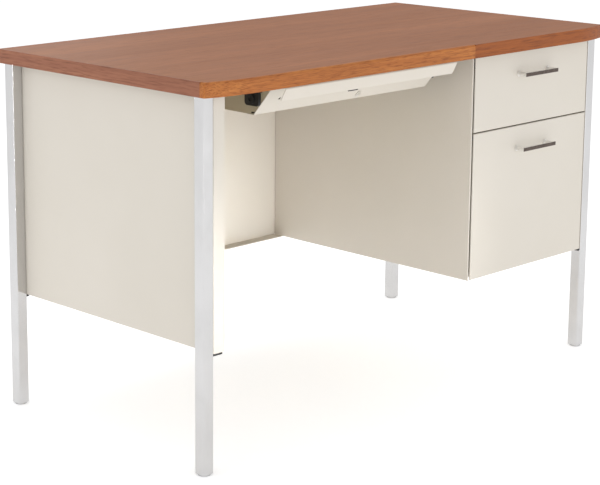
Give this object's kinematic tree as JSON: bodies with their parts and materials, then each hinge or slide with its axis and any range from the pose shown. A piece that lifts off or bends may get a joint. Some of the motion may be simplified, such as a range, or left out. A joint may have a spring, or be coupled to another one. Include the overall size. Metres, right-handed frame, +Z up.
{
  "type": "teacher desk",
  "caption": "Single-pedestal teacher desk: wood-grain laminate top, square chrome legs, painted steel panels, shallow centre drawer, box drawer above a file drawer.",
  "frame": {"origin": "on the floor under the middle of the desk's outer box", "axes": "+X to the right of a person facing the drawers, drawers face -Y, +Z up"},
  "size_m": [1.2192, 0.6266, 0.7493],
  "materials": {
    "particle_board": "matt, pressed wood chip",
    "laminate": "satin high-pressure laminate with a fine straight wood-grain print",
    "backer": "matt",
    "moulding": "satin wood-coloured plastic moulding",
    "edge_band": "satin wood-coloured edge band",
    "chrome": "bright plate",
    "glide_metal": "satin plate",
    "black_nylon": "matt",
    "putty_paint": "satin powder coat, putty",
    "putty_paint_inner": "satin powder coat, putty",
    "slide_steel": "bright zinc",
    "pull_metal": "bright plate, with a dark facing let into the front of the bar",
    "screw_steel": "zinc plated",
    "tray_plastic": "fine grained",
    "lock_metal": "plated, lightly worn"
  },
  "bodies": {
    "desk_frame": {"desktop_core": "particle_board", "desktop_laminate": "laminate", "desktop_backer": "backer", "kneehole_moulding": "moulding", "edge_band_left": "edge_band", "edge_band_right": "edge_band", "edge_band_rear": "edge_band", "edge_band_pedestal": "edge_band", "leg_front_left": "chrome", "leg_front_right": "chrome", "leg_rear_left": "chrome", "leg_rear_right": "chrome", "leg_inserts": "black_nylon", "corner_tabs": "black_nylon", "hanger_guide_left": "black_nylon", "hanger_guide_right": "black_nylon", "end_panel": "putty_paint", "modesty_panel": "putty_paint", "pedestal_side_left": "putty_paint", "pedestal_side_right": "putty_paint", "pedestal_bottom": "putty_paint", "pedestal_top_rail": "putty_paint_inner", "pedestal_divider_rail": "putty_paint_inner", "hanger_track_left": "putty_paint_inner", "hanger_track_right": "putty_paint_inner", "box_slide_left_outer": "slide_steel", "box_slide_right_outer": "slide_steel", "file_slide_left_outer": "slide_steel", "file_slide_right_outer": "slide_steel", "leg_bolts": "screw_steel", "top_screws": "screw_steel"},
    "glide_front_left_foot": {"glide_front_left": "glide_metal"},
    "glide_front_right_foot": {"glide_front_right": "glide_metal"},
    "glide_rear_left_foot": {"glide_rear_left": "glide_metal"},
    "glide_rear_right_foot": {"glide_rear_right": "glide_metal"},
    "box_drawer": {"box_drawer_body": "putty_paint_inner", "box_drawer_front": "putty_paint", "box_drawer_pull": "pull_metal", "box_pull_screws": "screw_steel", "box_slide_left_inner": "slide_steel", "box_slide_right_inner": "slide_steel"},
    "box_slide_middles": {"box_slide_left_middle": "slide_steel", "box_slide_right_middle": "slide_steel"},
    "file_drawer": {"file_drawer_body": "putty_paint_inner", "file_drawer_front": "putty_paint", "file_drawer_pull": "pull_metal", "file_pull_screws": "screw_steel", "file_rails": "slide_steel", "file_slide_left_inner": "slide_steel", "file_slide_right_inner": "slide_steel"},
    "file_slide_middles": {"file_slide_left_middle": "slide_steel", "file_slide_right_middle": "slide_steel"},
    "centre_drawer": {"centre_drawer_front": "putty_paint", "centre_drawer_pan": "putty_paint_inner", "pencil_tray": "tray_plastic", "latch_plate": "black_nylon", "lock_housing": "lock_metal"},
    "centre_lock": {"lock_plug": "lock_metal", "lock_cam": "screw_steel"}
  },
  "joints": [
    {"name": "box_drawer_slide", "type": "slide", "parent": "desk_frame", "child": "box_drawer", "axis": [0, -1, 0], "range_m": [0, 0.46]},
    {"name": "box_middles_slide", "type": "slide", "parent": "desk_frame", "child": "box_slide_middles", "axis": [0, -1, 0], "range_m": [0, 0.23]},
    {"name": "file_drawer_slide", "type": "slide", "parent": "desk_frame", "child": "file_drawer", "axis": [0, -1, 0], "range_m": [0, 0.48]},
    {"name": "file_middles_slide", "type": "slide", "parent": "desk_frame", "child": "file_slide_middles", "axis": [0, -1, 0], "range_m": [0, 0.24]},
    {"name": "centre_drawer_slide", "type": "slide", "parent": "desk_frame", "child": "centre_drawer", "axis": [0, -1, 0], "range_m": [0, 0.3]},
    {"name": "centre_lock_turn", "type": "hinge", "parent": "centre_drawer", "child": "centre_lock", "pos_m": [-0.1086, -0.21311, 0.66435], "axis": [0, -0.7567, -0.6538], "range_deg": [0, 90]},
    {"name": "glide_front_left_level", "type": "slide", "parent": "desk_frame", "child": "glide_front_left_foot", "axis": [0, 0, -1], "range_m": [0, 0.015]},
    {"name": "glide_front_right_level", "type": "slide", "parent": "desk_frame", "child": "glide_front_right_foot", "axis": [0, 0, -1], "range_m": [0, 0.015]},
    {"name": "glide_rear_left_level", "type": "slide", "parent": "desk_frame", "child": "glide_rear_left_foot", "axis": [0, 0, -1], "range_m": [0, 0.015]},
    {"name": "glide_rear_right_level", "type": "slide", "parent": "desk_frame", "child": "glide_rear_right_foot", "axis": [0, 0, -1], "range_m": [0, 0.015]}
  ],
  "couplings": [
    {"joint": "box_middles_slide", "follows": "box_drawer_slide", "ratio": 0.5},
    {"joint": "file_middles_slide", "follows": "file_drawer_slide", "ratio": 0.5}
  ]
}
